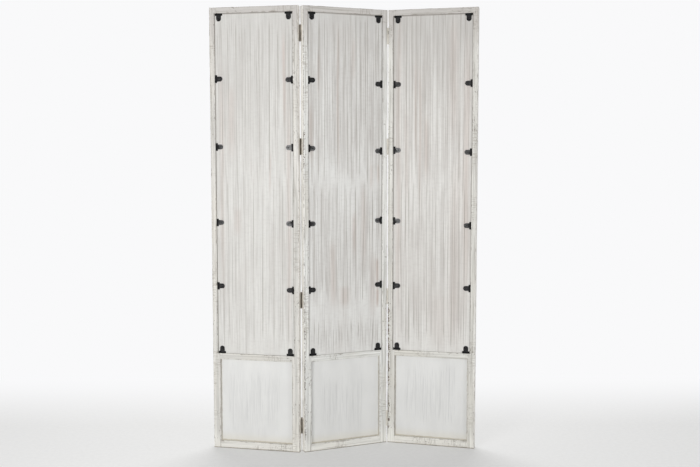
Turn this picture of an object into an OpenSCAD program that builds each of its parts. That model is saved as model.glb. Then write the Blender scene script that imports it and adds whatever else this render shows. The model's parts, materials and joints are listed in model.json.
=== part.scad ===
// Folding room divider screen: three framed panels on butt hinges, standing in a zigzag.
// +Z is up, the origin is the middle of the middle panel's underside, and X runs along that panel.
// -Y is the rear of the screen, where the back boards are held in by steel brackets.

/* [Panels] */
// Height of every panel
panel_h = 1830; // [1700:5:2000]
// Width of every panel
panel_w = 373; // [330:1:480]
// Width and thickness of the square frame stock
stock = 30; // [30:1:36]
// Height of the middle rail's underside
mid_rail_z = 380; // [320:5:400]
// Gap between two panels when they lie flat
panel_gap = 2.4; // [2.4:0.2:4]

/* [Standing pose] */
// Angle by which the left panel is folded towards the front
fold_left = 35; // [0:1:90]
// Angle by which the right panel is folded towards the rear
fold_right = 38; // [0:1:90]

/* [Boards] */
// Thickness of the back boards above the middle rail
board_t = 6; // [4:0.5:7]
// Thickness of the lower panels below the middle rail
lower_t = 5; // [4:0.5:6]
// Width of the rabbet in the stiles that each back board sits in
rabbet_w = 9.5; // [9.5:0.5:11]
// Width of the same rabbet in the rails
rail_rabbet_w = 6.5; // [6:0.5:8]
// Depth of the recess behind the back board
recess = 6; // [4:0.5:8]
// Depth of the groove that the lower panel sits in
groove_d = 7; // [5:0.5:8]

/* [Brackets] */
// Length of a bracket along the frame
bracket_l = 31; // [30:1:34]
// Width of the crossbar that is screwed through the board's margin into the frame
crossbar_w = 9.5; // [8:0.5:11]
// Reach of the lobe from the frame
lobe_reach = 32; // [30:1:34]
// Radius of the lobe
lobe_r = 10; // [8:0.5:11]
// Thickness of the bracket's steel
steel_t = 1.8; // [1.5:0.1:2.2]

/* [Hinges] */
// Length of a hinge
hinge_l = 65; // [60:1:76]
// Outer radius of the knuckles
knuckle_r = 3.2; // [3.2:0.1:3.8]
// Radius of the hinge pin
pin_r = 1.5; // [1.2:0.1:1.8]
// Thickness of a leaf
leaf_t = 1; // [0.8:0.1:1.1]
// Width of a leaf on the stile
leaf_w = 19; // [18:0.5:21]

/* [Hidden] */
$fn = 48;
PANELS = ["left", "middle", "right"];
JOINTS = ["left", "right"];
HINGES = [1, 2, 3, 4];
PANEL_PARTS = ["left_stile", "right_stile", "top_rail", "middle_rail", "bottom_rail",
    "back_board", "lower_panel", "brackets", "bracket_screws"];

// Colours
FRAME_WOOD = [0.80, 0.78, 0.74];
BOARD_WOOD = [0.78, 0.76, 0.75];
LOWER_WOOD = [0.85, 0.84, 0.82];
BLACK_PAINT = [0.05, 0.05, 0.05];
BRONZE = [0.24, 0.19, 0.16];
PAINTED_OVER = [0.74, 0.72, 0.68];
HINGE_COLOUR = [BRONZE, PAINTED_OVER];

// A panel's own frame: x from its middle, y from its mid-thickness, z from the floor
half_w = panel_w / 2;
half_t = stock / 2;
inner_x = half_w - stock;
open_x = inner_x + rabbet_w;
board_rear = -half_t + recess;
board_front = board_rear + board_t;
top_rail_z = panel_h - stock;
board_z0 = mid_rail_z + stock - rail_rabbet_w;
board_z1 = top_rail_z + rail_rabbet_w;
board_play = 0.5;
groove_w = lower_t + 0.2;
cut = 1;

// Joinery: tenons in front of the rabbet and the groove
tenon_wall = 3;
tenon_y0 = max(board_front, groove_w / 2) + 1.4;
tenon_y1 = half_t - tenon_wall;
tenon_h = 20;
tenon_l = 18;
tenon_up = (stock - tenon_h) / 2;
glue_gap = 0.1;
mortise_spare = 1;

// Fold axes: the left joint is hinged on the front faces and the right joint on the rear faces
axis_x = half_w + panel_gap / 2;
axis_y = half_t + knuckle_r;

// Heights of the brackets on each panel's left and right stile, set by eye on the real frame
stile_bracket_z = [
    [[688, 953, 1265, 1542], [678, 952, 1262, 1535]],
    [[678, 951, 1259, 1534], [685, 957, 1248, 1525]],
    [[679, 954, 1251, 1524], [678, 940, 1243, 1524]]
];
bracket_hole_r = 1.9;
bracket_play = 0.3;
bracket_corner_r = 2;
bar_screw_x = 11;
bar_screw_y = 4.2;
lobe_y = lobe_reach - lobe_r;
// The outer screw of a corner bracket goes into the stile, beside the rail's end
corner_bracket_x = inner_x + 2 - bar_screw_x;

// Screws
screw_r = 1.5;
pilot_r = screw_r + 0.05;
pilot_spare = 0.5;
tip_h = 1.5;
tip_r = 0.3;
pan_r = 3.3;
pan_h = 1.9;
pan_edge = 0.5;
bar_screw_l = board_t + 9;
board_hole_r = 1.7;
board_screw_l = board_t - 1;
sink_r = 2.7;
sink_gap = 0.1;
sink_slope = (sink_r - screw_r - sink_gap) / leaf_t;
leaf_screw_l = 11;
drive_w = 0.9;
pan_drive_l = 3.4;
pan_drive_d = 1;
flat_drive_l = 2.6;
flat_drive_d = 0.6;

// Hinges: heights of their middles, top one first, and where a leaf's screws go
hinge_z = [1723, 1266, 634, 106];
knuckles = 5;
knuckle_h = hinge_l / knuckles;
knuckle_gap = 0.3;
knuckle_clear = 0.5;
pin_clear = 0.03;
pin_head_r = 2.9;
pin_head_h = 1.2;
leaf_corner_r = 2;
leaf_screws = [[13, -24], [6.5, 0], [13, 24]];

// ---------- Placing ----------

// Puts a panel's own frame where that panel stands: 0 left, 1 middle, 2 right
module on_panel(k) {
    side = k - 1;
    fold = k == 0 ? fold_left : fold_right;
    if (k == 1) children();
    else translate([side * axis_x, -side * axis_y, 0]) rotate([0, 0, -fold])
        translate([side * axis_x, side * axis_y, 0]) children();
}

// Puts a joint's own frame on its fold axis: 0 left, 1 right.
// z runs along the pins, +x faces the middle panel's stile and -y runs over that stile's edge.
module on_joint(j) {
    if (j == 0) translate([-axis_x, axis_y, 0]) children();
    else translate([axis_x, -axis_y, 0]) rotate([0, 0, 180]) children();
}

// The same frame mirrored to face the outer panel's stile, turned with that panel
module on_moving_side(j) {
    fold = j == 0 ? fold_left : fold_right;
    on_joint(j) rotate([0, 0, -fold]) mirror([1, 0, 0]) children();
}

// A bracket's seat: x along the frame, y away from the frame, z out of the board's rear face
module seat(x, z, turn) {
    translate([x, board_rear, z]) rotate([0, turn, 0]) rotate([90, 0, 0]) children();
}

// Every bracket seat of panel k: four on each stile and two on the top and the middle rail
module at_brackets(k) {
    for (z = stile_bracket_z[k][0]) seat(-open_x, z, 90) children();
    for (z = stile_bracket_z[k][1]) seat(open_x, z, -90) children();
    for (x = [-corner_bracket_x, corner_bracket_x]) {
        seat(x, board_z1, 180) children();
        seat(x, board_z0, 0) children();
    }
}

// The two screws of a seat that hold the crossbar to the frame
module at_bar_screws() {
    for (x = [-bar_screw_x, bar_screw_x]) translate([x, bar_screw_y, 0]) children();
}

// A leaf's three screws in the joint frame, with z pointing out of the stile
module at_leaf_screws() {
    for (s = leaf_screws)
        translate([panel_gap / 2, -knuckle_r - s[0], s[1]]) rotate([0, -90, 0]) children();
}

// ---------- Screws ----------

module cross_recess(length, depth) {
    for (a = [0, 90]) rotate([0, 0, a]) translate([-length / 2, -drive_w / 2, -depth])
        cube([length, drive_w, depth + cut]);
}

module shank(length) {
    translate([0, 0, tip_h - length]) cylinder(r = screw_r, h = length - tip_h);
    translate([0, 0, -length]) cylinder(r1 = tip_r, r2 = screw_r, h = tip_h);
}

// Pan-head screw with the underside of its head at z = 0; its shank starts in the steel
module pan_screw(length) {
    difference() {
        union() {
            cylinder(r = pan_r, h = pan_h - pan_edge);
            translate([0, 0, pan_h - pan_edge]) cylinder(r1 = pan_r, r2 = pan_r - pan_edge, h = pan_edge);
            shank(length);
        }
        translate([0, 0, pan_h]) cross_recess(pan_drive_l, pan_drive_d);
    }
}

// Countersunk screw with its flat head at z = leaf_t and the stile's surface at z = 0
module flat_screw() {
    difference() {
        union() {
            cylinder(r1 = screw_r, r2 = sink_r - sink_gap, h = leaf_t);
            shank(leaf_screw_l);
        }
        translate([0, 0, leaf_t]) cross_recess(flat_drive_l, flat_drive_d);
    }
}

module pilot(depth) {
    translate([0, 0, -depth]) cylinder(r = pilot_r, h = depth + cut);
}

// ---------- Frame ----------

module bracket_pilots(k) {
    at_brackets(k) at_bar_screws() pilot(bar_screw_l);
}

// The holes for the hinge screws in the outer edge of a stile
module hinge_pilots(side, axis_side) {
    for (z = hinge_z, s = leaf_screws)
        translate([side * half_w, axis_side * (half_t - s[0]), z + s[1]]) rotate([0, side * 90, 0])
            pilot(leaf_screw_l + pilot_spare);
}

// Upright of panel k on its left (-1) or right (1) side
module stile(k, side) {
    hinged = k == 1 || k + side == 1;
    axis_side = k == 0 || (k == 1 && side < 0) ? 1 : -1;
    deep = inner_x - cut;
    difference() {
        translate([side * (half_w - half_t) - half_t, -half_t, 0]) cube([stock, stock, panel_h]);
        mirror([side < 0 ? 1 : 0, 0, 0]) {
            translate([deep, -half_t - cut, board_z0])
                cube([open_x - deep, board_front + half_t + cut, board_z1 - board_z0]);
            translate([deep, -groove_w / 2, stock - groove_d])
                cube([cut + groove_d, groove_w, mid_rail_z - stock + 2 * groove_d]);
            for (z = [0, mid_rail_z, top_rail_z])
                translate([deep, tenon_y0 - glue_gap, z + tenon_up - glue_gap])
                    cube([cut + tenon_l + mortise_spare, tenon_y1 - tenon_y0 + 2 * glue_gap,
                        tenon_h + 2 * glue_gap]);
        }
        bracket_pilots(k);
        if (hinged) hinge_pilots(side, axis_side);
    }
}

// Rail between the stiles with a tenon at each end; its underside is at height z
module rail_blank(z) {
    translate([-inner_x, -half_t, z]) cube([2 * inner_x, stock, stock]);
    translate([-inner_x - tenon_l, tenon_y0, z + tenon_up])
        cube([2 * (inner_x + tenon_l), tenon_y1 - tenon_y0, tenon_h]);
}

// Cuts the board's rabbet, whose lower edge is at height z, along a rail
module rail_rabbet(z) {
    translate([-inner_x - cut, -half_t - cut, z])
        cube([2 * (inner_x + cut), board_front + half_t + cut, rail_rabbet_w + cut]);
}

module rail_groove(z) {
    translate([-inner_x, -groove_w / 2, z]) cube([2 * inner_x, groove_w, groove_d + cut]);
}

module top_rail(k) {
    difference() {
        rail_blank(top_rail_z);
        rail_rabbet(top_rail_z - cut);
        bracket_pilots(k);
    }
}

module middle_rail(k) {
    difference() {
        rail_blank(mid_rail_z);
        rail_rabbet(board_z0);
        rail_groove(mid_rail_z - cut);
        bracket_pilots(k);
    }
}

module bottom_rail() {
    difference() {
        rail_blank(0);
        rail_groove(stock - groove_d);
    }
}

// ---------- Boards ----------

module back_board(k) {
    w = 2 * (open_x - board_play);
    difference() {
        translate([-w / 2, board_rear, board_z0 + board_play])
            cube([w, board_t, board_z1 - board_z0 - 2 * board_play]);
        at_brackets(k) {
            translate([0, lobe_y, 0]) pilot(board_screw_l);
            at_bar_screws() translate([0, 0, -board_t - cut]) cylinder(r = board_hole_r, h = board_t + 2 * cut);
        }
    }
}

module lower_panel() {
    w = 2 * (inner_x + groove_d - board_play);
    h = mid_rail_z - stock + 2 * (groove_d - board_play);
    translate([-w / 2, -lower_t / 2, stock - groove_d + board_play]) cube([w, lower_t, h]);
}

// ---------- Brackets ----------

// Outline on the board: a crossbar with rounded corners beside the frame and a lobe beyond it
module bracket_outline() {
    half = bracket_l / 2;
    low = bracket_play;
    translate([-half + bracket_corner_r, low]) square([bracket_l - 2 * bracket_corner_r, crossbar_w - low]);
    translate([-half, low + bracket_corner_r])
        square([bracket_l, crossbar_w - low - 2 * bracket_corner_r]);
    for (x = [-1, 1], y = [low + bracket_corner_r, crossbar_w - bracket_corner_r])
        translate([x * (half - bracket_corner_r), y]) circle(bracket_corner_r);
    translate([-lobe_r, low]) square([2 * lobe_r, lobe_y - low]);
    translate([0, lobe_y]) circle(lobe_r);
}

module bracket() {
    difference() {
        linear_extrude(steel_t) bracket_outline();
        translate([0, lobe_y, -cut]) cylinder(r = bracket_hole_r, h = steel_t + 2 * cut);
        at_bar_screws() translate([0, 0, -cut]) cylinder(r = bracket_hole_r, h = steel_t + 2 * cut);
    }
}

module bracket_screws() {
    translate([0, lobe_y, steel_t]) pan_screw(board_screw_l + steel_t - pilot_spare);
    at_bar_screws() translate([0, 0, steel_t]) pan_screw(bar_screw_l + steel_t - pilot_spare);
}

// ---------- Hinges ----------

module knuckle(i, r, gap) {
    translate([0, 0, i * knuckle_h - hinge_l / 2 + gap / 2]) cylinder(r = r, h = knuckle_h - gap);
}

// Leaf outline in its own plane: x away from the pin, y along it
module leaf_outline() {
    far = knuckle_r + leaf_w;
    translate([0, -hinge_l / 2]) square([far - leaf_corner_r, hinge_l]);
    translate([0, leaf_corner_r - hinge_l / 2]) square([far, hinge_l - 2 * leaf_corner_r]);
    for (y = [-1, 1])
        translate([far - leaf_corner_r, y * (hinge_l / 2 - leaf_corner_r)]) circle(leaf_corner_r);
}

// One leaf with its own knuckles, counted from the bottom; the even or the odd ones
module leaf(first) {
    mine = [for (i = [first:2:knuckles - 1]) i];
    others = [for (i = [1 - first:2:knuckles - 1]) i];
    difference() {
        union() {
            translate([panel_gap / 2, 0, 0]) rotate([0, -90, 0]) rotate([0, 0, -90]) linear_extrude(leaf_t)
                leaf_outline();
            for (i = mine) knuckle(i, knuckle_r, knuckle_gap);
        }
        for (i = others) knuckle(i, knuckle_r + knuckle_clear, -knuckle_gap);
        translate([0, 0, -hinge_l / 2 - cut]) cylinder(r = pin_r + pin_clear, h = hinge_l + 2 * cut);
        at_leaf_screws() {
            translate([0, 0, -cut]) cylinder(r = screw_r + sink_gap, h = leaf_t + cut);
            cylinder(r1 = screw_r + sink_gap, r2 = sink_r + sink_slope * cut / 2, h = leaf_t + cut / 2);
        }
    }
}

module pin() {
    translate([0, 0, -hinge_l / 2 - pin_head_h]) cylinder(r = pin_r, h = hinge_l + 2 * pin_head_h);
    for (z = [-hinge_l / 2 - pin_head_h, hinge_l / 2])
        translate([0, 0, z]) cylinder(r = pin_head_r, h = pin_head_h);
}

module leaf_screw_set() {
    for (z = hinge_z) translate([0, 0, z]) at_leaf_screws() flat_screw();
}

// ---------- The whole screen ----------

for (k = [0:2]) {
    p = str(PANELS[k], "_panel_");
    color(FRAME_WOOD) on_panel(k) stile(k, -1);
    color(FRAME_WOOD) on_panel(k) stile(k, 1);
    color(FRAME_WOOD) on_panel(k) top_rail(k);
    color(FRAME_WOOD) on_panel(k) middle_rail(k);
    color(FRAME_WOOD) on_panel(k) bottom_rail();
    color(BOARD_WOOD) on_panel(k) back_board(k);
    color(LOWER_WOOD) on_panel(k) lower_panel();
    color(BLACK_PAINT) on_panel(k) at_brackets(k) bracket();
    color(BLACK_PAINT) on_panel(k) at_brackets(k) bracket_screws();
}

for (j = [0, 1]) {
    p = str(JOINTS[j], "_hinge_");
    for (n = HINGES) {
        up = [0, 0, hinge_z[n - 1]];
        color(HINGE_COLOUR[j]) on_joint(j) translate(up) leaf(0);
        color(HINGE_COLOUR[j]) on_moving_side(j) translate(up) leaf(1);
        color(HINGE_COLOUR[j]) on_joint(j) translate(up) pin();
    }
    color(HINGE_COLOUR[j]) on_joint(j) leaf_screw_set();
    color(HINGE_COLOUR[j]) on_moving_side(j) leaf_screw_set();
}
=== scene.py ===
"""Folding room divider screen: whitewashed frames, brushed boards, black brackets and butt hinges.

Every wooden piece is built in the frame of its own panel, in metres: x runs along the panel from
its middle, -y is the rear, z is up from the floor. The panel's place comes from the fold joints.
"""

import itertools
import json
import math

import bmesh
import bpy
import numpy as np
from mathutils import Matrix, Vector, noise

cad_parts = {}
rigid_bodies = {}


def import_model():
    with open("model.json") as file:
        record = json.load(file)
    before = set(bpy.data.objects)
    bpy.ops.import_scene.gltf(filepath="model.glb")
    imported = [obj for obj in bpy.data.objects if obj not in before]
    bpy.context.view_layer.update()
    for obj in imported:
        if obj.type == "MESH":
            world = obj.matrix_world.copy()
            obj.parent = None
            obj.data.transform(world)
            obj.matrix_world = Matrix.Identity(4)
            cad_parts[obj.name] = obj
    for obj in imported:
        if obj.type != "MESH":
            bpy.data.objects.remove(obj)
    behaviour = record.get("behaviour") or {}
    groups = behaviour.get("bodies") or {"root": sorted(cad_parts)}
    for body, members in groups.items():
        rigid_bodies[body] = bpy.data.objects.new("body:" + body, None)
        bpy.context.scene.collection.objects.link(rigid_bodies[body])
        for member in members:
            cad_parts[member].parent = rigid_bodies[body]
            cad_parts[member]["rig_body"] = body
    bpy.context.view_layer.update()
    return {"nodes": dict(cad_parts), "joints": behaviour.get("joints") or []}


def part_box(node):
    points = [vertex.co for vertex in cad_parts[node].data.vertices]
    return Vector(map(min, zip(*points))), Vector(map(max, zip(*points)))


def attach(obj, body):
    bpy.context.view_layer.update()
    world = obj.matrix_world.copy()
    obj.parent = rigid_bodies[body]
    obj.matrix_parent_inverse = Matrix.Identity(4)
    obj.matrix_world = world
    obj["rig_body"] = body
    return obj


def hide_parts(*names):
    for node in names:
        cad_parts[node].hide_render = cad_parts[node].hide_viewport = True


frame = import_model()

MM = 0.001
PANELS = ("left", "middle", "right")
JOINTS = {j["name"]: j for j in frame["joints"]}

# ---------- Sizes, from the middle panel's CAD nodes ----------

STILE_LOW, STILE_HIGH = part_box("middle_panel_right_stile")
RAIL_LOW, RAIL_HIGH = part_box("middle_panel_middle_rail")
BOARD_LOW, BOARD_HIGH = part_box("middle_panel_back_board")
LOWER_LOW, LOWER_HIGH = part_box("middle_panel_lower_panel")

STOCK = STILE_HIGH.x - STILE_LOW.x
INNER_X = STILE_LOW.x
HALF_W = STILE_HIGH.x
HALF_T = STILE_HIGH.y
HEIGHT = STILE_HIGH.z
RAIL_Z = {"bottom": 0.0, "middle": RAIL_LOW.z, "top": HEIGHT - STOCK}

# The rabbet that holds the back board, and the groove that holds the lower panel
PLAY = 0.5 * MM
OPEN_X = BOARD_HIGH.x + PLAY
OPEN_Z0 = BOARD_LOW.z - PLAY
OPEN_Z1 = BOARD_HIGH.z + PLAY
RAIL_RABBET = OPEN_Z1 - RAIL_Z["top"]
BOARD_FRONT = BOARD_HIGH.y
GROOVE_X = LOWER_HIGH.x + PLAY
GROOVE_D = GROOVE_X - INNER_X
GROOVE_HALF = LOWER_HIGH.y + 0.1 * MM
GROOVE_Z0 = LOWER_LOW.z - PLAY
GROOVE_Z1 = LOWER_HIGH.z + PLAY

# Tenons and their mortises, as in the CAD model
TENON_X = RAIL_HIGH.x
TENON_Y = (4 * MM, 12 * MM)
TENON_UP = (5 * MM, 25 * MM)
GLUE = 0.1 * MM
MORTISE_X = TENON_X + 1 * MM

# Wear and mesh sizes of the frame
ROUND = 0.9 * MM
WORN_REACH = 4 * MM
SLICE = 7 * MM
UNEVEN = 0.22 * MM
DENT_DEPTH = 1.3 * MM
CHIP_FADE = 50 * MM
BOW_FADE = 30 * MM

# Boards: the spacing of their vertices across and up, how far their faces wave, and over what
# distance the waves die out towards the rims
BOARD_GRID = (1.5 * MM, 18 * MM)
BOARD_WAVE = 0.35 * MM
CALM_RIM = 20 * MM

# How far a bracket's crossbar reaches from the edge of the opening
CROSSBAR_REACH = 9 * MM


def panel_matrix(panel):
    """The place of a panel's own frame at rest, from the joint that carries the panel."""
    if panel == "middle":
        return Matrix.Identity(4)
    joint = JOINTS[panel + "_fold"]
    fold = math.radians(-joint["range_deg"][0])
    axis = Vector((joint["pos_m"][0], joint["pos_m"][1], 0))
    turn = Matrix.Rotation(-fold, 4, "Z")
    return Matrix.Translation(axis) @ turn @ Matrix.Translation(Vector((axis.x, -axis.y, 0)))


# ---------- Node graphs for materials ----------


class Graph:
    """A small writer for shader nodes: each call adds a node and gives back its output."""

    def __init__(self, name):
        self.material = bpy.data.materials.new(name)
        self.material.use_nodes = True
        self.tree = self.material.node_tree
        self.shader = self.tree.nodes["Principled BSDF"]

    def node(self, kind, inputs=None, **settings):
        made = self.tree.nodes.new(kind)
        for key, value in settings.items():
            setattr(made, key, value)
        for key, value in (inputs or {}).items():
            self.feed(made.inputs[key], value)
        return made

    def feed(self, socket, value):
        if isinstance(value, bpy.types.NodeSocket):
            self.tree.links.new(value, socket)
        else:
            socket.default_value = value

    def math(self, operation, a, b=0.0, clamp=False):
        made = self.node("ShaderNodeMath", {0: a, 1: b}, operation=operation, use_clamp=clamp)
        return made.outputs[0]

    def plus(self, a, b, clamp=False):
        return self.math("ADD", a, b, clamp)

    def minus(self, a, b):
        return self.math("SUBTRACT", a, b)

    def times(self, a, b, clamp=False):
        return self.math("MULTIPLY", a, b, clamp)

    def larger(self, a, b):
        return self.math("MAXIMUM", a, b)

    def length(self, a, b):
        return self.math("SQRT", self.plus(self.times(a, a), self.times(b, b)))

    def coords(self, scale=(1, 1, 1), shift=(0, 0, 0)):
        source = self.node("ShaderNodeTexCoord").outputs["Object"]
        made = self.node("ShaderNodeMapping", {"Vector": source, "Scale": scale, "Location": shift})
        return made.outputs[0]

    def noise(self, vector, detail=2.0, rough=0.5):
        inputs = {"Vector": vector, "Scale": 1.0, "Detail": detail, "Roughness": rough}
        return self.node("ShaderNodeTexNoise", inputs).outputs["Fac"]

    def span(self, value, low, high, out_low=0.0, out_high=1.0):
        """value from low to high becomes out_low to out_high, held at the ends, with soft turns."""
        made = self.node(
            "ShaderNodeMapRange",
            {"Value": value, "From Min": low, "From Max": high, "To Min": out_low, "To Max": out_high},
            interpolation_type="SMOOTHSTEP",
        )
        return made.outputs[0]

    def mix(self, factor, a, b):
        made = self.node("ShaderNodeMix", data_type="RGBA")
        self.feed(made.inputs[0], factor)
        for socket, value in ((made.inputs[6], a), (made.inputs[7], b)):
            self.feed(socket, (*value, 1.0) if isinstance(value, tuple) else value)
        return made.outputs[2]

    def position(self):
        return self.node("ShaderNodeSeparateXYZ", {0: self.coords()}).outputs

    def attribute(self, name):
        return self.node("ShaderNodeAttribute", attribute_name=name).outputs["Fac"]

    def bump(self, height, distance, strength):
        inputs = {"Height": height, "Distance": distance, "Strength": strength}
        return self.node("ShaderNodeBump", inputs).outputs[0]

    def finish(self, colour, roughness, normal, **plain):
        for name, value in (("Base Color", colour), ("Roughness", roughness), ("Normal", normal)):
            self.feed(self.shader.inputs[name], value)
        for name, value in plain.items():
            self.shader.inputs[name.replace("_", " ")].default_value = value
        return self.material


def srgb(r, g, b):
    """A colour given as it looks, 0 to 255, in the linear numbers that shaders take."""
    return tuple(((c / 255 + 0.055) / 1.055) ** 2.4 if c > 10 else c / 255 / 12.92 for c in (r, g, b))


# ---------- Meshes ----------


def grid_solid(planes, inside):
    """A closed mesh of the cells between planes (along x, y and z) whose middles are inside."""
    planes = [sorted(set(p)) for p in planes]
    middles = [[(a + b) / 2 for a, b in zip(p, p[1:])] for p in planes]
    cells = itertools.product(*(range(len(m)) for m in middles))
    solid = {c for c in cells if inside(*(middles[axis][c[axis]] for axis in range(3)))}
    bm = bmesh.new()
    corners = {}

    def corner(key):
        if key not in corners:
            corners[key] = bm.verts.new([planes[axis][key[axis]] for axis in range(3)])
        return corners[key]

    for cell in sorted(solid):
        for axis, step in itertools.product(range(3), (-1, 1)):
            beside = tuple(c + step * (n == axis) for n, c in enumerate(cell))
            if beside in solid:
                continue
            across, up = (axis + 1) % 3, (axis + 2) % 3
            ring = []
            for right, above in ((0, 0), (1, 0), (1, 1), (0, 1)):
                key = list(cell)
                key[axis] += step > 0
                key[across] += right
                key[up] += above
                ring.append(corner(tuple(key)))
            bm.faces.new(ring if step > 0 else ring[::-1])
    return bm


def merge_flat(bm):
    bmesh.ops.dissolve_limit(bm, angle_limit=math.radians(1), verts=bm.verts[:], edges=bm.edges[:])


def round_edges(bm, edges, width, clamp=False):
    bmesh.ops.bevel(
        bm, geom=edges, offset=width, offset_type="OFFSET", segments=2, profile=0.5, affect="EDGES",
        clamp_overlap=clamp,
    )


def slice_along(bm, axis, positions):
    """Cuts loops across a mesh at these positions, lowest first; each cut meets only what is above."""
    normal = [float(n == axis) for n in range(3)]
    above = bm.verts[:] + bm.edges[:] + bm.faces[:]
    for at in sorted(positions):
        point = [at * n for n in normal]
        made = bmesh.ops.bisect_plane(bm, geom=above, dist=1e-7, plane_co=point, plane_no=normal)
        above = []
        for item in made["geom"]:
            points = [item.co] if isinstance(item, bmesh.types.BMVert) else [v.co for v in item.verts]
            if max(p[axis] for p in points) > at - 1e-6:
                above.append(item)


def steps(low, high, size):
    """Evenly spaced positions strictly between low and high, about size apart."""
    count = max(1, round((high - low) / size))
    return [low + (high - low) * n / count for n in range(1, count)]


def convex_edges(bm, wanted, least_deg):
    """The outward edges sharper than least_deg whose middles are wanted."""
    least = math.radians(least_deg)
    found = []
    for edge in bm.edges:
        if edge.is_manifold and edge.is_convex and edge.calc_face_angle(0) > least:
            if wanted((edge.verts[0].co + edge.verts[1].co) / 2):
                found.append(edge)
    return found


def closeness(points, segments, reach):
    """1 on a segment to 0 at reach from it and beyond, for each point."""
    nearest = np.full(len(points), np.inf)
    for start, end in segments:
        a, along = np.array(start), np.array(end) - np.array(start)
        share = np.clip((points - a) @ along / (along @ along), 0, 1)
        nearest = np.minimum(nearest, np.linalg.norm(points - a - share[:, None] * along, axis=1))
    return np.clip(1 - nearest / reach, 0, 1)


def ramp(value, low, high):
    """0 up to low and 1 from high, with soft turns."""
    share = np.clip((value - low) / (high - low), 0, 1)
    return share * share * (3 - 2 * share)


def mark(mesh, name, values):
    """Gives every vertex of a mesh its value of a float attribute."""
    layer = mesh.attributes.new(name, "FLOAT", "POINT")
    layer.data.foreach_set("value", np.asarray(values, np.float32))


def add_piece(name, bm, material, sharp_deg=25, **attributes):
    """A new mesh object from bm, with a float attribute per vertex for each keyword."""
    mesh = bpy.data.meshes.new(name)
    bm.normal_update()
    bm.to_mesh(mesh)
    bm.free()
    mesh.polygons.foreach_set("use_smooth", [True] * len(mesh.polygons))
    mesh.set_sharp_from_angle(angle=math.radians(sharp_deg))
    for key, values in attributes.items():
        mark(mesh, key, values)
    mesh.materials.append(material)
    piece = bpy.data.objects.new(name, mesh)
    bpy.context.scene.collection.objects.link(piece)
    return piece


def fit(piece, panel, node):
    """Puts a piece built in a panel's own frame where the panel stands, in place of a CAD node."""
    piece.matrix_world = panel_matrix(panel)
    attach(piece, panel + "_panel")
    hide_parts(node)


# ---------- Frame members ----------

# Stretches where a stile's outer rear edge is chipped: from and to height in metres, and how much
CHIPPED = {
    ("middle", -1): ((0.05, 1.75, 0.3), (1.17, 1.36, 0.7), (0.05, 0.55, 0.6), (0.5, 0.95, 0.4)),
    ("right", -1): ((0.04, 0.62, 1.0), (0.62, 1.75, 0.25)),
    ("left", -1): ((1.3, 1.75, 0.3),),
}

# Stretches between the hinges where a stile's outer face bows towards the next panel: from and
# to height in metres, and how far in millimetres; the panels still clear each other when flat
LEFT_JOINT_BOWS = ((0.68, 1.22, 0.9), (1.76, 1.9, 0.9))
RIGHT_JOINT_BOWS = ((0.68, 1.22, 0.5), (1.31, 1.56, 0.6), (1.54, 1.69, 0.9), (1.76, 1.9, 0.9))
BOWED = {
    ("left", 1): LEFT_JOINT_BOWS,
    ("middle", -1): LEFT_JOINT_BOWS,
    ("middle", 1): RIGHT_JOINT_BOWS,
    ("right", -1): RIGHT_JOINT_BOWS,
}


def stile_inside(x, y, z):
    x = abs(x)
    rabbet = x < OPEN_X and y < BOARD_FRONT and OPEN_Z0 < z < OPEN_Z1
    groove = x < GROOVE_X and abs(y) < GROOVE_HALF and GROOVE_Z0 < z < GROOVE_Z1
    mortise = x < MORTISE_X and TENON_Y[0] - GLUE < y < TENON_Y[1] + GLUE and any(
        TENON_UP[0] - GLUE < z - low < TENON_UP[1] + GLUE for low in RAIL_Z.values()
    )
    return not (rabbet or groove or mortise)


def stile_planes(side):
    xs = [side * x for x in (INNER_X, OPEN_X, GROOVE_X, MORTISE_X, HALF_W)]
    ys = [-HALF_T, -GROOVE_HALF, GROOVE_HALF, BOARD_FRONT, TENON_Y[0] - GLUE, TENON_Y[1] + GLUE, HALF_T]
    mortises = [low + up for low in RAIL_Z.values() for up in (TENON_UP[0] - GLUE, TENON_UP[1] + GLUE)]
    return xs, ys, [0, GROOVE_Z0, GROOVE_Z1, OPEN_Z0, OPEN_Z1, HEIGHT, *mortises]


def rail_inside(kind):
    low = RAIL_Z[kind]

    def inside(x, y, z):
        up = z - low
        if abs(x) > INNER_X:
            return TENON_Y[0] < y < TENON_Y[1] and TENON_UP[0] < up < TENON_UP[1]
        from_board = {"top": up, "middle": STOCK - up, "bottom": STOCK}[kind]
        from_panel = {"top": STOCK, "middle": up, "bottom": STOCK - up}[kind]
        rabbet = from_board < RAIL_RABBET and y < BOARD_FRONT
        groove = from_panel < GROOVE_D and abs(y) < GROOVE_HALF
        return not (rabbet or groove)

    return inside


def rail_planes(kind):
    low = RAIL_Z[kind]
    ups = (0, GROOVE_D, RAIL_RABBET, STOCK - RAIL_RABBET, STOCK - GROOVE_D, STOCK, *TENON_UP)
    ys = (-HALF_T, -GROOVE_HALF, GROOVE_HALF, BOARD_FRONT, *TENON_Y, HALF_T)
    return (-TENON_X, -INNER_X, INNER_X, TENON_X), ys, [low + up for up in ups]


def weather(bm, segments, seed, chipped):
    """Makes planed wood of a sharp solid: faces a little uneven, edges dented here and there."""
    bm.verts.ensure_lookup_table()
    bm.normal_update()
    points = np.array([v.co for v in bm.verts])
    near = closeness(points, segments, WORN_REACH)
    chips = chipped(points)
    dents = np.zeros(len(points))
    for n, vert in enumerate(bm.verts):
        place = vert.co + Vector((seed, 0, 0))
        uneven = noise.noise(place * 30) * UNEVEN
        dent = max(0.0, noise.noise(place * 55) + 0.5 * noise.noise(place * 140) - 0.22)
        dents[n] = near[n] * min(1.0, dent * (3 + 4 * chips[n]))
        vert.co += vert.normal * (uneven - dents[n] * near[n] * DENT_DEPTH)
    return near, dents, chips


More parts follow.
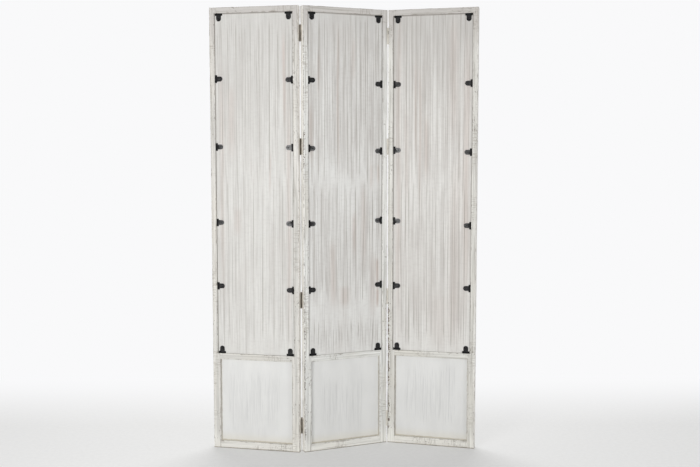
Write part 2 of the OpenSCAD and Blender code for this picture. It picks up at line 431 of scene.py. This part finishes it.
def member(name, planes, inside, length_axis, loops, worn, chipped, seed, material):
    """A stile or a rail: a jointed solid with rounded, worn outer edges."""
    bm = grid_solid(planes, inside)
    merge_flat(bm)
    edges = convex_edges(bm, worn, 50)
    segments = [(e.verts[0].co[:], e.verts[1].co[:]) for e in edges]
    round_edges(bm, edges, ROUND)
    low = min(v.co[length_axis] for v in bm.verts)
    high = max(v.co[length_axis] for v in bm.verts)
    slice_along(bm, length_axis, steps(low, high, SLICE))
    for axis, position in loops:
        slice_along(bm, axis, [position])
    near, dents, chips = weather(bm, segments, seed, chipped)
    return add_piece(name + "_wood", bm, material, edge=near, dent=dents, chip=chips)


# Extra loops across the thickness of the stock, for the dents and the unevenness
THICKNESS_LOOPS = [(1, y) for y in (WORN_REACH - HALF_T, -HALF_T / 2, HALF_T / 2, HALF_T - WORN_REACH)]


def bow(piece, side, stretches):
    """Moves a stile's outer face outwards along the stretches."""
    for vert in piece.data.vertices:
        outer = ramp(abs(vert.co.x), GROOVE_X, HALF_W - WORN_REACH)
        bows = [
            amount * ramp(vert.co.z, low, low + BOW_FADE) * ramp(high - vert.co.z, 0, BOW_FADE)
            for low, high, amount in stretches
        ]
        vert.co.x += side * max(bows, default=0) * MM * outer


def stile(panel, side, seed, material):
    name = f"{panel}_panel_{'left' if side < 0 else 'right'}_stile"
    xs = (INNER_X + WORN_REACH, OPEN_X + WORN_REACH, (OPEN_X + HALF_W) / 2, HALF_W - WORN_REACH)
    loops = [(0, side * x) for x in xs] + THICKNESS_LOOPS

    def worn(middle):
        at_ends = middle.z < MM or middle.z > HEIGHT - MM
        return at_ends or abs(middle.x) > HALF_W - MM or abs(middle.y) > HALF_T - MM

    def chipped(points):
        from_edge = np.hypot(points[:, 0] - side * HALF_W, points[:, 1] + HALF_T)
        height = points[:, 2]
        amount = np.zeros(len(points))
        for low, high, strength in CHIPPED.get((panel, side), ()):
            along = ramp(height, low - CHIP_FADE, low + CHIP_FADE)
            along = along * ramp(high + CHIP_FADE - height, 0, 2 * CHIP_FADE)
            amount = np.maximum(amount, strength * along)
        return amount * np.clip(1.3 - from_edge / (3 * WORN_REACH), 0, 1)

    piece = member(name, stile_planes(side), stile_inside, 2, loops, worn, chipped, seed, material)
    bow(piece, side, BOWED.get((panel, side), ()))
    fit(piece, panel, name)


def rail(panel, kind, seed, material):
    name = f"{panel}_panel_{kind}_rail"
    low = RAIL_Z[kind]
    loops = [(2, low + up) for up in (WORN_REACH, STOCK / 2, STOCK - WORN_REACH)] + THICKNESS_LOOPS

    def worn(middle):
        outside = abs(middle.y) > HALF_T - MM or middle.z < MM or middle.z > HEIGHT - MM
        return outside and abs(middle.x) < INNER_X - MM

    def chipped(points):
        return 0.3 * ramp(10 * MM - points[:, 2], 0, 8 * MM)

    piece = member(name, rail_planes(kind), rail_inside(kind), 0, loops, worn, chipped, seed, material)
    fit(piece, panel, name)


# ---------- Brushed boards ----------

# The coats of each board: top, bottom, left, right and the places of the main brush lines, in
# millimetres. Heights are from the floor. Places across are as seen from the rear, from a line
# UNDER_STILE to the left of the left stile's inner face.
UNDER_STILE = 6
COATS = {
    "left": (
        (1800, 1110, 1, 325, (26, 53, 87, 113, 126, 148, 186, 228, 263, 294, 313)),
        (1175, 430, 1, 325, (24, 47, 80, 118, 155, 194, 242, 268, 279, 303)),
    ),
    "middle": (
        (1825, 1125, 1, 325, (12, 44, 70, 105, 129, 156, 173, 187, 210, 228, 251, 262, 300, 312)),
        (1145, 610, 1, 325, (22, 56, 90, 122, 156, 168, 207, 244, 262, 285, 311)),
        (575, 420, 1, 325, (40, 76, 92, 107, 132, 146, 170, 187, 220, 265, 286)),
    ),
    "right": (
        (1850, 1065, 1, 325, (19, 52, 76, 92, 110, 129, 164, 202, 224, 245, 275, 293)),
        (1160, 432, 1, 325, (32, 52, 65, 84, 108, 140, 178, 213, 248, 258, 277, 300)),
    ),
}
LOWER_COATS = {
    "left": ((335, 90, 40, 262, (58, 92, 118, 150, 178, 214, 240)),),
    "middle": ((310, 90, 55, 240, (68, 94, 122, 170, 196, 222)),),
    "right": ((350, 110, 48, 265, (62, 96, 128, 146, 182, 204, 240)),),
}
# Warm streaks: place, bottom, top and half width in the same millimetres, and strength
WARM = {
    "left": (
        (22, 640, 1560, 9, 0.5), (66, 1220, 1500, 16, 0.5), (290, 1350, 1700, 7, 0.9),
        (308, 500, 1400, 8, 0.6), (85, 900, 1010, 16, 0.5), (228, 1080, 1230, 4, 0.7),
    ),
    "middle": (
        (129, 1180, 1720, 5, 1.0), (44, 1480, 1640, 6, 0.7), (198, 1540, 1700, 8, 0.6),
        (10, 1200, 1420, 9, 0.8), (312, 1110, 1190, 5, 1.0), (278, 1090, 1190, 9, 0.6),
        (244, 760, 1090, 12, 0.6), (202, 820, 980, 10, 0.8), (105, 600, 860, 14, 0.8),
        (155, 600, 680, 22, 0.8), (309, 690, 790, 5, 1.6), (309, 590, 670, 5, 1.6),
        (288, 560, 800, 14, 0.6),
    ),
    "right": (
        (18, 480, 1760, 11, 0.7), (250, 1300, 1770, 18, 0.6), (305, 600, 1650, 14, 0.8),
        (92, 1200, 1600, 5, 0.9), (110, 1050, 1560, 5, 0.9), (52, 1050, 1400, 9, 0.5),
        (135, 1130, 1380, 9, 0.8), (260, 420, 1180, 24, 0.5), (200, 420, 640, 40, 0.35),
    ),
}
# The ends and sides of a coat, in millimetres: how they wander and ripple, and how softly they stop
COAT_WANDER = 14
COAT_RIPPLE = 6
COAT_FOOT = 28
COAT_HEAD = 45
COAT_SIDE = 8
# Thin brush lines for each main one
THIN_LINES = 8


def on_board(points):
    """How far each point lies across a board and up, in the millimetres of the tables."""
    return (points[:, 0] + INNER_X) / MM + UNDER_STILE, points[:, 2] / MM


def brush(points, coats, random, lean):
    """How dark the brushed lines make each point and how far it lies in a coat, both 0 to 1."""
    x, z = on_board(points)
    dark, coat = np.zeros(len(points)), np.zeros(len(points))
    for top, bottom, left, right, lines in coats:
        waves = (np.sin(x / random.uniform(4, 25) + random.uniform(0, 6)) for _ in range(3))
        ragged = sum(COAT_WANDER * wave for wave in waves)
        ripple = COAT_RIPPLE * np.sin(x / 1.7 + 3 * np.sin(x / 11))
        inside = ramp(z - ragged - ripple, bottom - COAT_FOOT, bottom + COAT_FOOT)
        inside *= ramp(top + 10 - ragged - ripple - z, 0, COAT_HEAD)
        inside *= ramp(x, left - COAT_SIDE, left + COAT_SIDE)
        inside *= ramp(right + COAT_SIDE - x, 0, 2 * COAT_SIDE)
        coat = np.maximum(coat, inside)
        thin = random.uniform(left, right, THIN_LINES * len(lines))
        for place, strong in [(p, True) for p in lines] + [(p, False) for p in thin]:
            upper = top - random.uniform(0, 45)
            lower = bottom + random.uniform(-40, 50)
            if not strong:
                upper -= random.uniform(0, 0.4) * (top - bottom)
                lower += random.uniform(0, 0.3) * (upper - bottom)
            height = (z - bottom) / (top - bottom) - 0.5
            wander = random.uniform(-1, 1) * lean * height
            wander += random.uniform(0.3, 1) * np.sin(z / random.uniform(60, 140) + random.uniform(0, 6))
            width = random.uniform(1.3, 2.1) if strong else random.uniform(0.9, 1.4)
            line = np.exp(-(((x - place - wander) / width) ** 2))
            fade = random.uniform(25, 90)
            ends = ramp(z, lower, lower + fade) * ramp(upper - z, 0, fade)
            weight = random.uniform(0.6, 1) if strong else random.uniform(0.25, 0.6)
            patchy = 0.85 + 0.15 * np.sin(z / random.uniform(50, 170) + random.uniform(0, 6))
            dark = np.maximum(dark, line * ends * weight * patchy)
    return dark, coat


def warm_streaks(points, marks, random):
    """How far the warm streaks colour each point, 0 to 1.5."""
    x, z = on_board(points)
    warm = np.zeros(len(points))
    for place, low, high, half, strength in marks:
        wander = 1.5 * np.sin(z / random.uniform(80, 150) + random.uniform(0, 6))
        fade = 0.3 * (high - low)
        ends = ramp(z, low - fade / 2, low + fade) * ramp(high + fade / 2 - z, 0, fade)
        warm += strength * np.exp(-(((x - place - wander) / half) ** 2)) * ends
    return np.clip(warm, 0, 1.5)


def plate(low, high):
    """A thin board with a fine grid of vertices on its two faces."""
    across, up = BOARD_GRID
    xs = [low.x, *steps(low.x, high.x, across), high.x]
    zs = [low.z, *steps(low.z, high.z, up), high.z]
    return grid_solid((xs, (low.y, high.y), zs), lambda x, y, z: True)


def wave_faces(bm, seed):
    """Waves the faces of a plate gently, down to nothing at its two upright rims."""
    bm.verts.ensure_lookup_table()
    low_x, high_x = min(v.co.x for v in bm.verts), max(v.co.x for v in bm.verts)
    for vert in bm.verts:
        inset = min(vert.co.x - low_x, high_x - vert.co.x, CALM_RIM) / CALM_RIM
        place = Vector((vert.co.x * 9 + seed, 0, vert.co.z * 2.5))
        vert.co.y += noise.noise(place) * BOARD_WAVE * inset


def board(panel, number, kind, low, high, coats, marks, lean, material):
    """A back board or a lower panel, named after its panel and kind."""
    bm = plate(low, high)
    points = np.array([v.co for v in bm.verts])
    wave_faces(bm, number * 7.3)
    random = np.random.default_rng(40 + number)
    dark, coat = brush(points, coats, random, lean)
    warm = warm_streaks(points, marks, random)
    name = f"{panel}_panel_{kind}"
    piece = add_piece(name + "_painted", bm, material, dark=dark, warm=warm, coat=coat)
    fit(piece, panel, name)


# ---------- Paint on wood ----------

# Frame: paint, dirt, painted light and painted shadow, and the wood below them
CREAM = srgb(217, 213, 203)
TOP_GREY = srgb(190, 186, 182)
LOW_WHITE = srgb(244, 242, 235)
SIDE_FACE_PAINTED_LIGHT = srgb(247, 245, 240)
STROKE_GREY = srgb(160, 156, 148)
MARK_BROWN = srgb(146, 138, 126)
BARE_WOOD = srgb(134, 127, 116)
CHIPPED_WOOD = srgb(72, 56, 44)
SPECK_BROWN = srgb(118, 110, 100)
NICK_BROWN = srgb(92, 76, 62)
FOOT_TAN = srgb(205, 190, 156)
FOOT_PAINTED_SHADOW = srgb(104, 94, 80)

# Back boards
HEAD_GREY = srgb(168, 165, 161)
MOTTLE_GREY = srgb(188, 184, 180)
FURROW_GREY = srgb(173, 167, 161)
RIDGE_WHITE = srgb(236, 235, 232)
SCRATCH_GREY = srgb(160, 153, 147)
LINE_BROWN = srgb(138, 128, 120)
GRAIN_WHITE = srgb(240, 239, 235)
PATCH_GREY = srgb(206, 201, 196)
# Painted shadow where the boards meet the frame's rabbet, along the sides and under the top rail
RIM_PAINTED_SHADOW = srgb(112, 104, 96)
TOP_RIM_PAINTED_SHADOW = srgb(120, 112, 104)

# Lower panels
LOWER_WHITE = srgb(219, 219, 217)
LOWER_BRIGHT = srgb(225, 225, 223)
LOWER_LINE = srgb(158, 158, 158)
LOWER_FURROW = srgb(172, 172, 172)
GRIME_AND_SHADE_TAN = srgb(150, 138, 114)
HAZE_TAN = srgb(222, 214, 192)


def frame_paint(name, upright, shift, white, grey):
    """Worn whitewash: stripes of paint over grey wood, rubbed through along the edges."""
    g = Graph(name)

    def stretched(across, along):
        return g.coords((across, across, along) if upright else (along, across, across), shift)

    edge, dent, chip = g.attribute("edge"), g.attribute("dent"), g.attribute("chip")
    x, _, height = g.position()

    tone = g.noise(stretched(120, 2.2), 4, 0.6)
    base = g.mix(g.span(tone, 0.34, 0.66), grey, white)
    cloud = g.noise(g.coords((9, 9, 4) if upright else (4, 9, 9), shift), 2)
    base = g.mix(g.span(cloud, 0.48, 0.7, 0, 0.45), base, CREAM)
    base = g.mix(g.span(height, 1.62, 1.8, 0, 0.8), base, TOP_GREY)
    base = g.mix(g.span(height, 0.02, 0.08, 0.5, 0), base, LOW_WHITE)
    # Painted light: the stiles' outer side faces, deep in the fold joints where shade falls, are painted
    # whiter in place of light reaching them
    outside = g.span(g.math("ABSOLUTE", x), HALF_W - 0.7 * MM, HALF_W - 0.2 * MM, 0, 0.7)
    base = g.mix(outside, base, SIDE_FACE_PAINTED_LIGHT)
    strokes = g.noise(stretched(240, 5), 3, 0.6)
    base = g.mix(g.span(strokes, 0.52, 0.66, 0, 0.6), base, STROKE_GREY)
    marks = g.noise(stretched(40, 330), 2, 0.5)
    area = g.noise(g.coords((11, 11, 7), shift), 2)
    marked = g.times(g.span(marks, 0.5, 0.62), g.span(area, 0.53, 0.62, 0, 0.4))
    base = g.mix(marked, base, MARK_BROWN)

    low_down = g.span(height, 0.0, 0.5, 0.03, 0.0)
    breaks = g.noise(stretched(90, 30), 4, 0.7)
    rubbed = g.plus(g.times(edge, 0.4), g.plus(breaks, low_down))
    rubbed = g.plus(rubbed, g.times(dent, 0.25))
    rubbed = g.plus(rubbed, g.times(chip, 0.16))
    worn = g.span(rubbed, 0.86, 0.96, 0, 0.85)
    bare = g.mix(g.span(chip, 0.2, 0.8), BARE_WOOD, CHIPPED_WOOD)
    colour = g.mix(worn, base, bare)

    specks = g.noise(stretched(260, 90), 2, 0.5)
    patches = g.noise(g.coords((14, 14, 14), shift), 2)
    speck = g.span(g.plus(specks, g.times(patches, 0.5)), 0.93, 1.0, 0, 0.8)
    colour = g.mix(speck, colour, SPECK_BROWN)
    nicks = g.noise(g.coords((210, 210, 130), shift), 3, 0.6)
    nicked = g.span(g.plus(nicks, g.times(chip, 0.26)), 0.71, 0.78, 0, 0.85)
    colour = g.mix(nicked, colour, NICK_BROWN)
    foot = g.span(g.plus(height, g.times(breaks, 8 * MM)), 3 * MM, 9 * MM, 0.5, 0.0)
    colour = g.mix(foot, colour, FOOT_TAN)
    # Painted contact shadow: a dark line along the bottom few millimetres, where the frame stands on the
    # floor
    colour = g.mix(g.span(height, 1.5 * MM, 4 * MM, 0.75, 0), colour, FOOT_PAINTED_SHADOW)

    grain = g.plus(g.times(strokes, 0.8), breaks)
    bare_spots = g.plus(g.plus(worn, speck), nicked)
    sunk = g.minus(grain, g.times(bare_spots, 0.8))
    normal = g.bump(sunk, 0.6 * MM, 0.8)
    return g.finish(colour, g.span(grain, 0.5, 1.2, 0.62, 0.85), normal, Specular_IOR_Level=0.35)


def board_paint(name, shift, light, shade, tint, contrast, grey_from, grey):
    """Thin paint brushed up and down: dark bristle lines, warm streaks and fine hairlines."""
    g = Graph(name)
    dark, warm, coat = g.attribute("dark"), g.attribute("warm"), g.attribute("coat")
    x, _, z = g.position()

    broad = g.noise(g.coords((32, 0, 5), shift), 3, 0.6)
    colour = g.mix(g.span(broad, 0.34, 0.66), shade, light)
    greyer = g.math("POWER", g.span(z, grey_from, OPEN_Z1), 3)
    colour = g.mix(g.times(greyer, grey), colour, HEAD_GREY)
    patch = g.noise(g.coords((10, 0, 3), shift), 2)
    bristle = g.noise(g.coords((260, 0, 2.6), shift), 3, 0.6)
    hairs = g.noise(g.coords((430, 0, 3.2), shift), 2, 0.5)
    fine = g.noise(g.coords((700, 0, 14), shift), 2, 0.6)
    brushed = g.plus(g.times(coat, 0.7), 0.3)
    colour = g.mix(g.times(warm, 0.65, True), colour, tint)
    mottle = g.noise(g.coords((45, 0, 110), shift), 2, 0.5)
    colour = g.mix(g.span(mottle, 0.45, 0.7, 0, 0.16), colour, MOTTLE_GREY)

    furrows = g.times(brushed, g.span(bristle, 0.52, 0.66, 0, 0.2 * contrast))
    colour = g.mix(furrows, colour, FURROW_GREY)
    colour = g.mix(g.span(bristle, 0.48, 0.34, 0, 0.22), colour, RIDGE_WHITE)
    scratches = g.times(brushed, g.span(hairs, 0.55, 0.64, 0, 0.5 * contrast))
    colour = g.mix(scratches, colour, SCRATCH_GREY)
    lines = g.times(dark, g.span(bristle, 0.25, 0.6, 0.6, 1.0))
    colour = g.mix(g.times(lines, contrast), colour, LINE_BROWN)
    colour = g.mix(g.span(fine, 0.45, 0.7, 0, 0.12), colour, GRAIN_WHITE)
    colour = g.mix(g.span(patch, 0.5, 0.75, 0, 0.22), colour, PATCH_GREY)

    # Painted shadow: the board darkens within a few millimetres of the rabbet's sides and under the top
    # rail, where the frame shades it
    rim = g.minus(OPEN_X, g.math("ABSOLUTE", x))
    colour = g.mix(g.span(rim, 1 * MM, 5 * MM, 0.6, 0.0), colour, RIM_PAINTED_SHADOW)
    top_rim = g.minus(OPEN_Z1, z)
    colour = g.mix(g.span(top_rim, 2 * MM, 6 * MM, 0.6, 0.0), colour, TOP_RIM_PAINTED_SHADOW)
    relief = g.minus(g.plus(bristle, fine), g.times(dark, 0.8))
    normal = g.bump(relief, 0.4 * MM, 0.6)
    return g.finish(colour, g.span(bristle, 0.3, 0.7, 0.55, 0.72), normal, Specular_IOR_Level=0.35)


def lower_paint(name, shift):
    """Smoother, brighter paint, with tan grime and painted shade where the panel enters the frame's
    grooves.
    """
    g = Graph(name)
    dark, coat = g.attribute("dark"), g.attribute("coat")
    x, _, z = g.position()

    broad = g.noise(g.coords((18, 0, 6), shift), 3, 0.55)
    colour = g.mix(g.span(broad, 0.3, 0.7), LOWER_WHITE, LOWER_BRIGHT)
    bristle = g.noise(g.coords((380, 0, 9), shift), 3, 0.6)
    colour = g.mix(g.times(dark, 0.32), colour, LOWER_LINE)
    furrows = g.times(coat, g.span(bristle, 0.48, 0.7, 0, 0.3))
    colour = g.mix(furrows, colour, LOWER_FURROW)

    # Tan grime and painted shade along the panel's sides, bottom and top, where it meets the frame
    ragged = g.times(g.noise(g.coords((60, 0, 60), shift), 3, 0.6), 6 * MM)
    from_side = g.minus(INNER_X, g.math("ABSOLUTE", x))
    from_rail = g.minus(z, STOCK)
    from_top = g.minus(RAIL_LOW.z, z)
    sides = g.span(g.minus(from_side, ragged), -4 * MM, 3 * MM, 0.8, 0)
    bottom = g.span(g.minus(from_rail, ragged), -4 * MM, 4 * MM, 0.85, 0)
    top = g.span(from_top, 0, 5 * MM, 0.55, 0)
    grime_and_shade = g.larger(g.larger(sides, bottom), top)
    colour = g.mix(grime_and_shade, colour, GRIME_AND_SHADE_TAN)
    haze = g.span(from_rail, 0, 45 * MM, 0.3, 0)
    colour = g.mix(haze, colour, HAZE_TAN)
    normal = g.bump(g.plus(bristle, g.times(broad, 0.5)), 0.3 * MM, 0.5)
    return g.finish(colour, g.span(bristle, 0.3, 0.7, 0.5, 0.62), normal, Specular_IOR_Level=0.4)


# ---------- Hardware ----------

PAINT_GREY = srgb(198, 193, 182)
PAINT_WHITE = srgb(226, 222, 213)
DARK_BRONZE = srgb(98, 88, 79)
WORN_BRONZE = srgb(146, 134, 122)
DUST = srgb(190, 182, 170)
BARE_STEEL = srgb(104, 98, 90)


def softened(node, width, material):
    """A copy of a CAD node with its flat faces whole and its outer edges lightly rounded."""
    bm = bmesh.new()
    bm.from_mesh(frame["nodes"][node].data)
    bmesh.ops.remove_doubles(bm, verts=bm.verts[:], dist=1e-6)
    merge_flat(bm)
    round_edges(bm, convex_edges(bm, lambda middle: True, 40), width, clamp=True)
    piece = add_piece(node + "_rounded", bm, material, 20)
    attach(piece, frame["nodes"][node]["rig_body"])
    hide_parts(node)
    return piece


def mark_crossbars(piece, panel):
    """Gives the crossbars and their screws, which are duller than the lobes, bar = 1."""
    back = panel_matrix(panel).inverted()
    places = [back @ vert.co for vert in piece.data.vertices]
    insets = [min(OPEN_X - abs(p.x), p.z - OPEN_Z0, OPEN_Z1 - p.z) for p in places]
    mark(piece.data, "bar", [float(inset < CROSSBAR_REACH) for inset in insets])


def black_steel(name, shade, roughness):
    """Black paint, glossy on the lobes and dull where the attribute bar is 1."""
    g = Graph(name)
    coarse = g.noise(g.coords((45, 45, 45)), 3)
    fine = g.noise(g.coords((900, 900, 900)), 2)
    low, high = srgb(*shade), srgb(*(c + 12 for c in shade))
    colour = g.mix(g.span(coarse, 0.35, 0.7), low, high)
    normal = g.bump(fine, 0.08 * MM, 0.4)
    rough = g.span(coarse, 0.3, 0.7, roughness - 0.03, roughness + 0.05)
    rough = g.plus(rough, g.times(g.attribute("bar"), 0.6), True)
    return g.finish(colour, rough, normal, Specular_IOR_Level=0.28)


def whitewash(g):
    """Brushed-on paint for metal: its colour, where it is chipped off, and its coarse noise."""
    coarse = g.noise(g.coords((90, 90, 40)), 4, 0.6)
    chips = g.noise(g.coords((160, 160, 70)), 3, 0.6)
    colour = g.mix(g.span(coarse, 0.3, 0.7), PAINT_GREY, PAINT_WHITE)
    return colour, g.span(chips, 0.6, 0.68, 0, 0.85), coarse


def bronze(name, joint):
    """Dusty dark bronze at the knuckles, under whitewash on the leaves beyond them."""
    g = Graph(name)
    paint, chipped, coarse = whitewash(g)
    fine = g.noise(g.coords((700, 700, 700)), 2)
    metal = g.mix(g.span(coarse, 0.35, 0.65), DARK_BRONZE, WORN_BRONZE)
    metal = g.mix(g.span(fine, 0.62, 0.72, 0, 0.5), metal, DUST)
    x, y, _ = g.position()
    along = g.minus(x, joint["pos_m"][0])
    across = g.minus(y, joint["pos_m"][1])
    from_pin = g.length(along, across)
    ragged = g.plus(from_pin, g.times(coarse, 6 * MM))
    painted = g.span(ragged, 8 * MM, 11 * MM)
    painted = g.times(painted, g.minus(1.0, chipped))
    colour = g.mix(painted, metal, paint)
    g.feed(g.shader.inputs["Metallic"], g.span(painted, 0, 1, 0.6, 0.0))
    normal = g.bump(g.plus(fine, painted), 0.1 * MM, 0.5)
    return g.finish(colour, g.span(coarse, 0.3, 0.7, 0.42, 0.65), normal)


def painted_over(name):
    """Whitewash brushed over steel, chipped here and there."""
    g = Graph(name)
    paint, chipped, coarse = whitewash(g)
    colour = g.mix(chipped, paint, BARE_STEEL)
    normal = g.bump(g.minus(coarse, chipped), 0.3 * MM, 0.6)
    return g.finish(colour, g.span(coarse, 0.3, 0.7, 0.55, 0.75), normal)


# ---------- Build ----------

# White and grey of each panel's frame
FRAME_TONES = {
    "left": (srgb(229, 227, 221), srgb(197, 195, 190)),
    "middle": (srgb(235, 235, 231), srgb(204, 204, 200)),
    "right": (srgb(228, 227, 221), srgb(196, 194, 188)),
}
# Light, shade, warm tint and contrast of each back board, the height in metres from which it
# turns greyer, and how grey it is at its top
BOARD_TONES = {
    "left": (srgb(219, 218, 214), srgb(211, 210, 206), srgb(196, 180, 172), 0.7, 0.8, 0.3),
    "middle": (srgb(224, 224, 221), srgb(214, 213, 210), srgb(192, 178, 170), 0.95, 1.35, 0.38),
    "right": (srgb(223, 222, 218), srgb(214, 212, 208), srgb(194, 180, 172), 0.8, 1.05, 0.55),
}
# How far a main brush line may lean over its length, in millimetres
BOARD_LEAN = {"left": 6, "middle": 14, "right": 6}
LOWER_LEAN = 4

for number, panel in enumerate(PANELS):
    shift = (3.7 * number, 1.9 * number, 2.3 * number)
    upright = frame_paint(f"{panel}_upright_paint", True, shift, *FRAME_TONES[panel])
    level = frame_paint(f"{panel}_level_paint", False, shift, *FRAME_TONES[panel])
    for side in (-1, 1):
        stile(panel, side, 10 * number + side, upright)
    for row, kind in enumerate(RAIL_Z):
        rail(panel, kind, 30 + 10 * number + row, level)
    paint = board_paint(f"{panel}_board_paint", shift, *BOARD_TONES[panel])
    board(panel, number, "back_board", BOARD_LOW, BOARD_HIGH, COATS[panel], WARM[panel],
          BOARD_LEAN[panel], paint)
    lower = lower_paint(f"{panel}_lower_paint", shift)
    board(panel, number + 3, "lower_panel", LOWER_LOW, LOWER_HIGH, LOWER_COATS[panel], (),
          LOWER_LEAN, lower)

BRACKET_PAINT = black_steel("black_bracket_paint", (12, 12, 13), 0.2)
SCREW_PAINT = black_steel("black_screw_paint", (11, 11, 12), 0.22)
LEFT_METAL = bronze("dark_bronze", JOINTS["left_fold"])
RIGHT_METAL = painted_over("painted_hinge")

for panel in PANELS:
    for part, width, metal, slot in (
        ("brackets", 0.35 * MM, BRACKET_PAINT, "bracket_steel"),
        ("bracket_screws", 0.15 * MM, SCREW_PAINT, "bracket_screw"),
    ):
        piece = softened(f"{panel}_panel_{part}", width, metal)
        mark_crossbars(piece, panel)

HINGE_PARTS = [
    (f"{n}_{part}", 0.25 * MM, "hinge")
    for n in range(1, 5)
    for part in ("fixed_leaf", "moving_leaf", "pin")
]
HINGE_PARTS += [(f"{leaf}_leaf_screws", 0.12 * MM, "screw") for leaf in ("fixed", "moving")]

for side, metal, prefix in (("left", LEFT_METAL, "bronze"), ("right", RIGHT_METAL, "painted")):
    for part, width, kind in HINGE_PARTS:
        softened(f"{side}_hinge_{part}", width, metal)

# ---------- Camera ----------

# Where the camera stands in metres, its lens in millimetres, and how many degrees it looks down,
# leans and turns to the right
CAMERA_PLACE = (-1.5620, -3.7504, 1.2571)
LENS = 50.35
LOOK_DOWN = 4.943
LEAN = 0.027
TURN_RIGHT = 22.918

camera_data = bpy.data.cameras.new("camera")
camera_data.sensor_width = 36
camera_data.lens = LENS
camera = bpy.data.objects.new("camera", camera_data)
camera.location = CAMERA_PLACE
camera.rotation_euler = [math.radians(turn) for turn in (90 - LOOK_DOWN, LEAN, -TURN_RIGHT)]
bpy.context.scene.collection.objects.link(camera)
bpy.context.scene.camera = camera

# ---------- Floor, world and lights ----------

SURROUND = srgb(249, 249, 250)
PAPER = srgb(229, 229, 228)
BRIGHT_PAPER = srgb(233, 233, 232)
FLOOR_RADIUS = 30
ROOM_LIGHT = 0.45


def floor_paper():
    """Pale paper with a faint glow of its own near the screen, which lightens the shadows on it, fading
    into the bright surroundings, soonest behind.
    """
    g = Graph("floor_paper")
    x, y, _ = g.position()
    distance = g.length(x, y)
    behind = g.plus(g.times(x, 0.38), g.times(y, 0.92))
    # A painted glow: even near the screen, 0.15 of the surrounding white shines from the paper and
    # lightens the screen's shadow on it
    fade = g.larger(g.span(distance, 1.6, 4.5, 0.15, 1.0), g.span(behind, 0.0, 1.25))
    speckle = g.noise(g.coords((60, 60, 60)), 3)
    colour = g.mix(g.span(speckle, 0.3, 0.7), PAPER, BRIGHT_PAPER)
    g.finish(colour, g.span(speckle, 0.3, 0.7, 0.75, 0.9), g.bump(speckle, 0.3 * MM, 0.3))
    glow = g.node("ShaderNodeEmission", {"Color": (*SURROUND, 1.0), "Strength": 1.0})
    both = g.node("ShaderNodeMixShader", {0: fade, 1: g.shader.outputs[0], 2: glow.outputs[0]})
    output = g.tree.nodes["Material Output"]
    g.tree.links.new(both.outputs[0], output.inputs["Surface"])
    return g.material


floor_mesh = bpy.data.meshes.new("floor")
disc = bmesh.new()
bmesh.ops.create_circle(disc, cap_ends=True, segments=96, radius=FLOOR_RADIUS)
disc.to_mesh(floor_mesh)
disc.free()
floor_mesh.materials.append(floor_paper())
floor = bpy.data.objects.new("floor", floor_mesh)
bpy.context.scene.collection.objects.link(floor)

# The camera sees the bright surroundings, and the screen is lit by a dimmer white room
world = bpy.data.worlds.new("studio")
bpy.context.scene.world = world
world.use_nodes = True
tree = world.node_tree
room = tree.nodes["Background"]
room.inputs["Color"].default_value = (1, 1, 1, 1)
room.inputs["Strength"].default_value = ROOM_LIGHT
seen = tree.nodes.new("ShaderNodeBackground")
seen.inputs["Color"].default_value = (*SURROUND, 1.0)
path = tree.nodes.new("ShaderNodeLightPath")
choose = tree.nodes.new("ShaderNodeMixShader")
tree.links.new(path.outputs["Is Camera Ray"], choose.inputs[0])
tree.links.new(room.outputs[0], choose.inputs[1])
tree.links.new(seen.outputs[0], choose.inputs[2])
tree.links.new(choose.outputs[0], tree.nodes["World Output"].inputs["Surface"])

bpy.context.scene.view_settings.view_transform = "Standard"
bpy.context.scene.view_settings.look = "None"


def softbox(name, place, aim, width, height, watts):
    data = bpy.data.lights.new(name, "AREA")
    data.shape = "RECTANGLE"
    data.size, data.size_y = width, height
    data.energy = watts
    lamp = bpy.data.objects.new(name, data)
    lamp.location = place
    lamp.rotation_euler = (Vector(aim) - Vector(place)).to_track_quat("-Z", "Y").to_euler()
    lamp.visible_camera = False
    bpy.context.scene.collection.objects.link(lamp)


softbox("left_softbox", (-2.9, -2.4, 1.05), (0, 0, 1.0), 1.3, 1.1, 54)
softbox("right_softbox", (1.6, -3.9, 1.05), (0, 0, 1.0), 1.0, 1.1, 20)
softbox("front_top", (-1.2, -3.0, 3.4), (0, 0, 0.9), 2.4, 1.6, 6)
softbox("back_top", (0.6, 1.8, 3.6), (0, 0, 0.8), 3.0, 1.8, 84)
